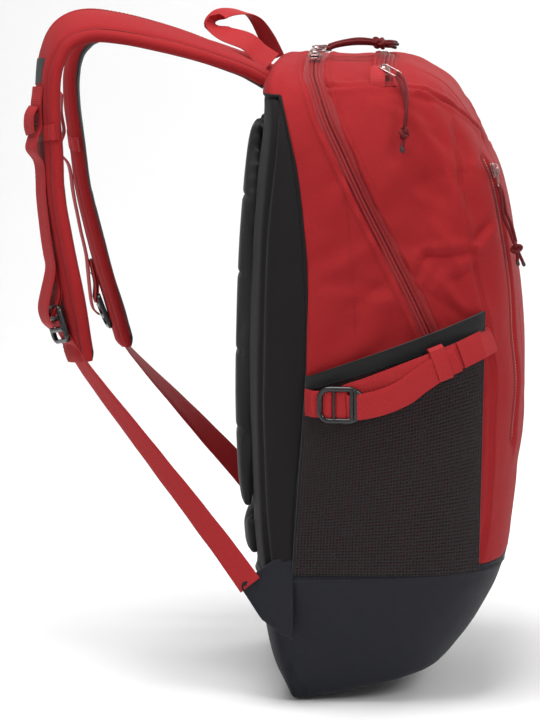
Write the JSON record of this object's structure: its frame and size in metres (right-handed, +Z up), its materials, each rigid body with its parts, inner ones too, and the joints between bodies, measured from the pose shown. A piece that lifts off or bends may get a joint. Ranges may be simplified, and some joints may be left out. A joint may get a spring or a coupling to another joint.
{
  "type": "daypack",
  "caption": "Tall daypack with a fold-down front flap, side mesh pockets, curved padded shoulder straps, haul loop and corded zip pulls.",
  "frame": {"origin": "on the ground under the middle of the pack's box, without its zip pulls", "axes": "+Z up, +Y towards the wearer, +X to the wearer's right"},
  "size_m": [0.328, 0.3858, 0.5339],
  "materials": {
    "red_fabric": "woven matt",
    "charcoal_fabric": "woven matt",
    "mesh": "open knit",
    "black_binding": "knit",
    "zip_tape": "coated coil zip",
    "red_webbing": "woven webbing",
    "black_plastic": "satin moulded",
    "slider_metal": "polished",
    "pull_cord": "braided",
    "stiffener": "satin",
    "lining": "smooth woven"
  },
  "bodies": {
    "pack": {"boot": "charcoal_fabric", "back_panel": "charcoal_fabric", "frame_sheet": "stiffener", "back_yoke": "red_fabric", "laptop_sleeve": "lining", "side_panel_left": "red_fabric", "side_panel_right": "red_fabric", "side_yoke_left": "red_fabric", "side_yoke_right": "red_fabric", "front_panel": "red_fabric", "mesh_pocket_left": "mesh", "mesh_pocket_right": "mesh", "pocket_hem_left": "black_binding", "pocket_hem_right": "black_binding", "zip_tape_left": "zip_tape", "zip_tape_right": "zip_tape", "front_pocket_zip_end": "zip_tape", "wing_left": "charcoal_fabric", "wing_right": "charcoal_fabric", "compression_stub_left": "red_webbing", "compression_stub_right": "red_webbing", "compression_buckle_left": "black_plastic", "compression_buckle_right": "black_plastic", "compression_web_left": "red_webbing", "compression_web_right": "red_webbing"},
    "flap": {"flap_front": "red_fabric", "flap_side_left": "red_fabric", "flap_side_right": "red_fabric", "flap_top": "red_fabric", "flap_tape_left": "zip_tape", "flap_tape_right": "zip_tape", "top_pocket_zip": "zip_tape", "front_pocket_zip": "zip_tape"},
    "haul": {"haul_loop": "red_webbing"},
    "slider_main_left": {"main_slider_left": "slider_metal"},
    "slider_main_right": {"main_slider_right": "slider_metal"},
    "slider_top": {"top_slider": "slider_metal"},
    "slider_front": {"front_slider": "slider_metal"},
    "pull_main_left": {"main_cord_left": "pull_cord", "main_knot_left": "pull_cord"},
    "pull_main_right": {"main_cord_right": "pull_cord", "main_knot_right": "pull_cord"},
    "pull_top": {"top_cord": "pull_cord", "top_knot": "pull_cord"},
    "pull_front": {"front_cord": "pull_cord", "front_knot": "pull_cord"},
    "keeper_ring_left": {"keeper_left": "red_webbing"},
    "keeper_ring_right": {"keeper_right": "red_webbing"},
    "strap_left": {"strap_pad_left": "red_fabric", "strap_tab_left": "red_webbing", "ladder_lock_left": "black_plastic", "strap_web_left": "red_webbing", "strap_tail_left": "red_webbing"},
    "strap_right": {"strap_pad_right": "red_fabric", "strap_tab_right": "red_webbing", "ladder_lock_right": "black_plastic", "strap_web_right": "red_webbing", "strap_tail_right": "red_webbing"}
  },
  "joints": [
    {"name": "flap_fold", "type": "hinge", "parent": "pack", "child": "flap", "pos_m": [0, -0.1932, 0.298], "axis": [1, 0, 0], "range_deg": [0, 50]},
    {"name": "strap_swing_left", "type": "hinge", "parent": "pack", "child": "strap_left", "pos_m": [-0.046, 0.0133, 0.482], "axis": [0.2323, -0.0051, 0.9726], "range_deg": [0, 25]},
    {"name": "strap_swing_right", "type": "hinge", "parent": "pack", "child": "strap_right", "pos_m": [0.046, 0.0133, 0.482], "axis": [0.2323, 0.0051, -0.9726], "range_deg": [-5, 25]},
    {"name": "haul_flip", "type": "hinge", "parent": "pack", "child": "haul", "pos_m": [0, 0.0073, 0.491], "axis": [1, 0, 0], "range_deg": [0, 24]},
    {"name": "main_zip_left", "type": "hinge", "parent": "flap", "child": "slider_main_left", "pos_m": [-0.0679, -0.0597, 0.4289], "axis": [0.074, 0.9054, -0.4182], "range_deg": [-78, 0]},
    {"name": "main_zip_right", "type": "hinge", "parent": "flap", "child": "slider_main_right", "pos_m": [0, -0.0307, 0.1517], "axis": [0, 1, 0], "range_deg": [0, 22]},
    {"name": "top_zip", "type": "hinge", "parent": "flap", "child": "slider_top", "pos_m": [0, -0.0847, 0.17], "axis": [0, 1, 0], "range_deg": [0, 1]},
    {"name": "front_zip", "type": "hinge", "parent": "flap", "child": "slider_front", "pos_m": [-0.092, 0.2374, 0.2795], "axis": [1, 0, 0], "range_deg": [0, 6]},
    {"name": "main_pull_left", "type": "hinge", "parent": "slider_main_left", "child": "pull_main_left", "pos_m": [-0.058, -0.0367, 0.499], "axis": [1, 0, 0], "range_deg": [-75, 0]},
    {"name": "main_pull_right", "type": "hinge", "parent": "slider_main_right", "child": "pull_main_right", "pos_m": [-0.038, -0.0367, 0.501], "axis": [1, 0, 0], "range_deg": [-75, 0]},
    {"name": "top_pull_lift", "type": "hinge", "parent": "slider_top", "child": "pull_top", "pos_m": [-0.107, -0.0907, 0.486], "axis": [0, 1, 0], "range_deg": [0, 60]},
    {"name": "front_pull_lift", "type": "hinge", "parent": "slider_front", "child": "pull_front", "pos_m": [-0.093, -0.1707, 0.402], "axis": [1, 0, 0], "range_deg": [-50, 0]},
    {"name": "keeper_slide_left", "type": "slide", "parent": "pack", "child": "keeper_ring_left", "axis": [0.2987, -0.896, 0.3285], "range_m": [-0.008, 0.008]},
    {"name": "keeper_slide_right", "type": "slide", "parent": "pack", "child": "keeper_ring_right", "axis": [-0.2987, -0.896, 0.3285], "range_m": [-0.008, 0.008]}
  ]
}
